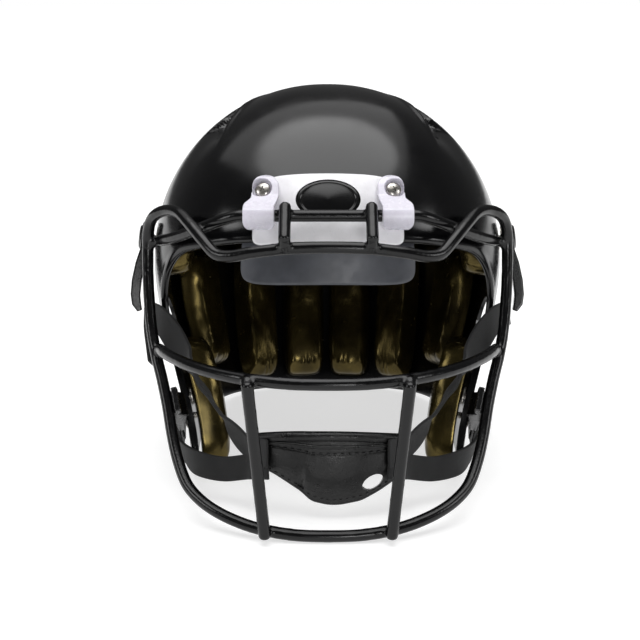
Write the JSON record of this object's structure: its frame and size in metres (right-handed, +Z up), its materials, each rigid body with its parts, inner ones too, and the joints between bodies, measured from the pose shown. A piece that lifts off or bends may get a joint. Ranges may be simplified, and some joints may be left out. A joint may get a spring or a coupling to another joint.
{
  "type": "american football helmet",
  "caption": "American football helmet: glossy black shell with padded liner, welded wire face mask hinged in its brow clips, and a leather chin cup on snap-fastened straps.",
  "frame": {"origin": "centre of the bounding box at its base, on the table the helmet stands on", "axes": "-Y towards the wearer's front, +X towards the wearer's left, +Z up; the helmet stands tipped back on its mask and rear bumper"},
  "size_m": [0.273, 0.3496, 0.2543],
  "materials": {
    "shell_gloss": "gloss black moulded shell",
    "vinyl_coated_wire": "black vinyl dip over steel wire, satin gloss",
    "white_plastic": "white, semi-gloss",
    "clip_plastic": "milky white, slightly clear",
    "steel_hardware": "zinc plated steel",
    "black_plastic": "black, semi-gloss",
    "strap_webbing": "woven black",
    "cup_leather": "black, satin",
    "cup_lining": "black soft lining",
    "dark_vinyl_pad": "dark grey vinyl over foam",
    "gold_vinyl_pad": "olive gold satin vinyl over foam"
  },
  "bodies": {
    "helmet": {"shell": "shell_gloss", "front_bumper": "white_plastic", "front_badge": "shell_gloss", "rear_bumper": "black_plastic", "top_clip_screw_right": "steel_hardware", "top_clip_screw_left": "steel_hardware", "top_clip_nut_right": "steel_hardware", "top_clip_nut_left": "steel_hardware", "side_clip_screw_right": "steel_hardware", "side_clip_screw_left": "steel_hardware", "side_clip_nut_right": "steel_hardware", "side_clip_nut_left": "steel_hardware", "rear_bumper_screw_right": "steel_hardware", "rear_bumper_screw_left": "steel_hardware", "top_clip_right": "clip_plastic", "top_clip_left": "clip_plastic", "side_clip_right": "black_plastic", "side_clip_left": "black_plastic", "snap_stud_upper_right": "steel_hardware", "snap_stud_upper_left": "steel_hardware", "snap_stud_lower_right": "steel_hardware", "snap_stud_lower_left": "steel_hardware", "chin_cup": "cup_leather", "chin_cup_pad": "cup_lining", "chin_strap_upper_right": "strap_webbing", "chin_strap_upper_left": "strap_webbing", "chin_strap_lower_right": "strap_webbing", "chin_strap_lower_left": "strap_webbing", "front_pad": "dark_vinyl_pad", "crown_pad": "gold_vinyl_pad", "rear_pad_inner_right": "gold_vinyl_pad", "rear_pad_inner_left": "gold_vinyl_pad", "rear_pad_outer_right": "gold_vinyl_pad", "rear_pad_outer_left": "gold_vinyl_pad", "ear_pad_right": "gold_vinyl_pad", "ear_pad_left": "gold_vinyl_pad", "side_pad_right": "gold_vinyl_pad", "side_pad_left": "gold_vinyl_pad", "crown_valve": "black_plastic", "rear_valve": "black_plastic"},
    "facemask": {"mask_top_wire": "vinyl_coated_wire", "mask_brow_wire": "vinyl_coated_wire", "mask_side_wire": "vinyl_coated_wire", "mask_middle_wire": "vinyl_coated_wire", "mask_upper_upright_right": "vinyl_coated_wire", "mask_upper_upright_left": "vinyl_coated_wire", "mask_lower_upright_right": "vinyl_coated_wire", "mask_lower_upright_left": "vinyl_coated_wire"},
    "snap_upper_right": {"strap_buckle_upper_right": "black_plastic"},
    "snap_lower_right": {"strap_buckle_lower_right": "black_plastic"},
    "jaw_pad_right": {"jaw_pad_right": "gold_vinyl_pad"},
    "snap_upper_left": {"strap_buckle_upper_left": "black_plastic"},
    "snap_lower_left": {"strap_buckle_lower_left": "black_plastic"},
    "jaw_pad_left": {"jaw_pad_left": "gold_vinyl_pad"}
  },
  "joints": [
    {"name": "facemask_swing", "type": "hinge", "parent": "helmet", "child": "facemask", "pos_m": [0, -0.105, 0.19018], "axis": [-1, 0, 0], "range_deg": [0, 100]},
    {"name": "snap_upper_right_pull", "type": "slide", "parent": "helmet", "child": "snap_upper_right", "axis": [0.9868, -0.0901, 0.1347], "range_m": [0, 0.008]},
    {"name": "snap_lower_right_pull", "type": "slide", "parent": "helmet", "child": "snap_lower_right", "axis": [0.9825, -0.0649, -0.1744], "range_m": [0, 0.008]},
    {"name": "jaw_pad_right_pull", "type": "slide", "parent": "helmet", "child": "jaw_pad_right", "axis": [-0.9719, 0.1354, 0.1927], "range_m": [0, 0.012]},
    {"name": "snap_upper_left_pull", "type": "slide", "parent": "helmet", "child": "snap_upper_left", "axis": [-0.9868, -0.0901, 0.1347], "range_m": [0, 0.008]},
    {"name": "snap_lower_left_pull", "type": "slide", "parent": "helmet", "child": "snap_lower_left", "axis": [-0.9825, -0.0649, -0.1744], "range_m": [0, 0.008]},
    {"name": "jaw_pad_left_pull", "type": "slide", "parent": "helmet", "child": "jaw_pad_left", "axis": [0.9719, 0.1354, 0.1927], "range_m": [0, 0.012]}
  ]
}
